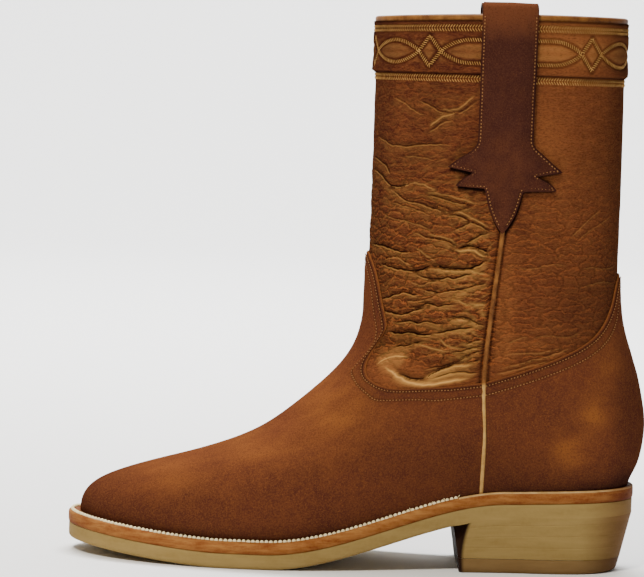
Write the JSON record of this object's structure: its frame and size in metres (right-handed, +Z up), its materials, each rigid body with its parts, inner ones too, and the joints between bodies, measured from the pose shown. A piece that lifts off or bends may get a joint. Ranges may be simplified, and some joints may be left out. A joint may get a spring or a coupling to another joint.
{
  "type": "roper boot",
  "caption": "Left pull-on roper boot: rough-out leather foot, smooth shaft with a stitched collar band, leaf-ended pull straps, rope-stitched welt and a low stacked heel.",
  "frame": {"origin": "on the floor under the middle of the heel", "axes": "+X from toe to heel, +Z up, -Y towards the lateral (outer) side"},
  "size_m": [0.3069, 0.1071, 0.3014],
  "materials": {
    "rough_out": "napped rough-out leather, matte",
    "smooth_leather": "smooth pull-up leather with creases, satin",
    "dark_leather": "dark napped leather, matte",
    "edge_leather": "burnished edge",
    "tan_piping": "folded narrow leather, satin",
    "sole_rubber": "moulded, matte",
    "lift_rubber": "moulded, matte",
    "lining": "unfinished lining leather"
  },
  "bodies": {
    "root": {"outsole": "sole_rubber", "midsole": "edge_leather", "welt": "edge_leather", "insole": "lining", "heel_block": "sole_rubber", "top_lift": "lift_rubber", "upper": "smooth_leather", "vamp": "rough_out", "counter": "rough_out", "collar_band": "smooth_leather", "top_binding": "tan_piping", "side_seam_lateral": "tan_piping", "side_seam_medial": "tan_piping", "pull_strap_lateral": "dark_leather", "pull_strap_medial": "dark_leather"}
  },
  "joints": []
}
